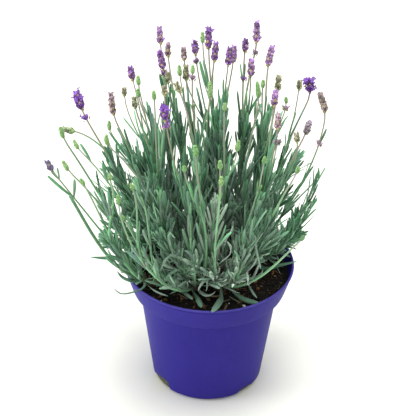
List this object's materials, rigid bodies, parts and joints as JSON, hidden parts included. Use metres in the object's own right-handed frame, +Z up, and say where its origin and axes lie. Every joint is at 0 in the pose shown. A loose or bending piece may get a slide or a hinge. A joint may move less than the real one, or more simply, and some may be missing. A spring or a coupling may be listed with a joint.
{
  "type": "potted lavender",
  "caption": "Bushy flowering lavender growing in a tapered round plastic nursery pot with a flared rim band.",
  "frame": {"origin": "on the pot's axis, in the plane of its flat underside", "axes": "+Z up along the pot's axis; -Y is the side that faces the camera of the reference view"},
  "size_m": [0.2815, 0.2559, 0.3537],
  "materials": {
    "pot_plastic": "satin",
    "potting_soil": "matte",
    "woody_stem": "matte",
    "leaf": "matte",
    "silver_leaf": "matte",
    "flowering_branch": "matte"
  },
  "bodies": {
    "root": {"flower_branch_01": "flowering_branch", "flower_branch_02": "flowering_branch", "flower_branch_03": "flowering_branch", "flower_branch_04": "flowering_branch", "flower_branch_05": "flowering_branch", "flower_branch_06": "flowering_branch", "flower_branch_07": "flowering_branch", "flower_branch_08": "flowering_branch", "flower_branch_09": "flowering_branch", "flower_branch_10": "flowering_branch", "flower_branch_11": "flowering_branch", "flower_branch_12": "flowering_branch", "flower_branch_13": "flowering_branch", "flower_branch_14": "flowering_branch", "flower_branch_15": "flowering_branch", "flower_branch_16": "flowering_branch", "flower_branch_17": "flowering_branch", "flower_branch_18": "flowering_branch", "flower_branch_19": "flowering_branch", "flower_branch_20": "flowering_branch", "flower_branch_21": "flowering_branch", "flower_branch_22": "flowering_branch", "flower_branch_23": "flowering_branch", "flower_branch_24": "flowering_branch", "flower_branch_25": "flowering_branch", "flower_branch_26": "flowering_branch", "flower_branch_27": "flowering_branch", "flower_branch_28": "flowering_branch", "flower_branch_29": "flowering_branch", "flower_branch_30": "flowering_branch", "flower_branch_31": "flowering_branch", "flower_branch_32": "flowering_branch", "flower_branch_33": "flowering_branch", "flower_branch_34": "flowering_branch", "flower_branch_35": "flowering_branch", "flower_branch_36": "flowering_branch", "flower_branch_37": "flowering_branch", "flower_branch_38": "flowering_branch", "flower_branch_39": "flowering_branch", "leafy_shoot_back_left": "leaf", "leafy_shoot_back_mid": "leaf", "leafy_shoot_back_right": "leaf", "leafy_shoot_centre": "leaf", "leafy_shoot_front_left": "leaf", "leafy_shoot_front_right": "leaf", "leafy_shoot_left_back": "leaf", "leafy_shoot_left_low": "leaf", "leafy_shoot_left_mid": "leaf", "leafy_shoot_right_high": "leaf", "leafy_shoot_right_low": "leaf", "leafy_shoot_right_mid": "leaf", "leafy_shoot_silver_front": "silver_leaf", "leafy_shoot_top_left": "leaf", "leafy_shoot_top_mid": "leaf", "leafy_shoot_top_right": "leaf", "pot": "pot_plastic", "soil": "potting_soil", "woody_base": "woody_stem"}
  },
  "joints": []
}
